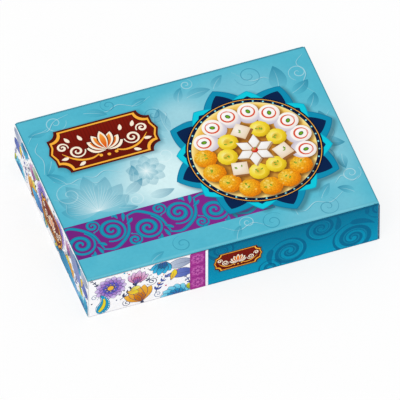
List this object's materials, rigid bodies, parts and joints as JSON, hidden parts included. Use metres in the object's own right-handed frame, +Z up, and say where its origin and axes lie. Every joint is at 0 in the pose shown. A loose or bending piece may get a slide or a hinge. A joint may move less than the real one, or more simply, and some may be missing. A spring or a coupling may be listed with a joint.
{
  "type": "sweet box",
  "caption": "Flat rectangular sweet box: a printed folding carton with double side walls, a lid hinged along the back and a tuck flap at the front.",
  "frame": {"origin": "middle of the underside of the base", "axes": "+X to the right along the length, -Y to the front wall, +Z up"},
  "size_m": [0.254, 0.183, 0.045],
  "materials": {
    "printed_lid": "offset printed and gloss laminated",
    "printed_wall": "offset printed and gloss laminated",
    "white_board": "uncoated white board"
  },
  "bodies": {
    "tray": {"base_panel": "white_board", "front_wall": "printed_wall", "back_wall": "printed_wall", "left_outer_wall": "printed_wall", "right_outer_wall": "printed_wall", "left_top_rim": "printed_wall", "right_top_rim": "printed_wall", "left_inner_wall": "white_board", "right_inner_wall": "white_board", "front_left_corner_flap": "white_board", "front_right_corner_flap": "white_board", "back_left_corner_flap": "white_board", "back_right_corner_flap": "white_board"},
    "lid": {"lid_panel": "printed_lid"},
    "tuck": {"front_tuck_flap": "printed_lid"}
  },
  "joints": [
    {"name": "lid_hinge", "type": "hinge", "parent": "tray", "child": "lid", "pos_m": [0, 0.0911, 0.0446], "axis": [-1, 0, 0], "range_deg": [0, 180]},
    {"name": "tuck_fold", "type": "hinge", "parent": "lid", "child": "tuck", "pos_m": [0, -0.0896, 0.0442], "axis": [1, 0, 0], "range_deg": [0, 84]}
  ]
}
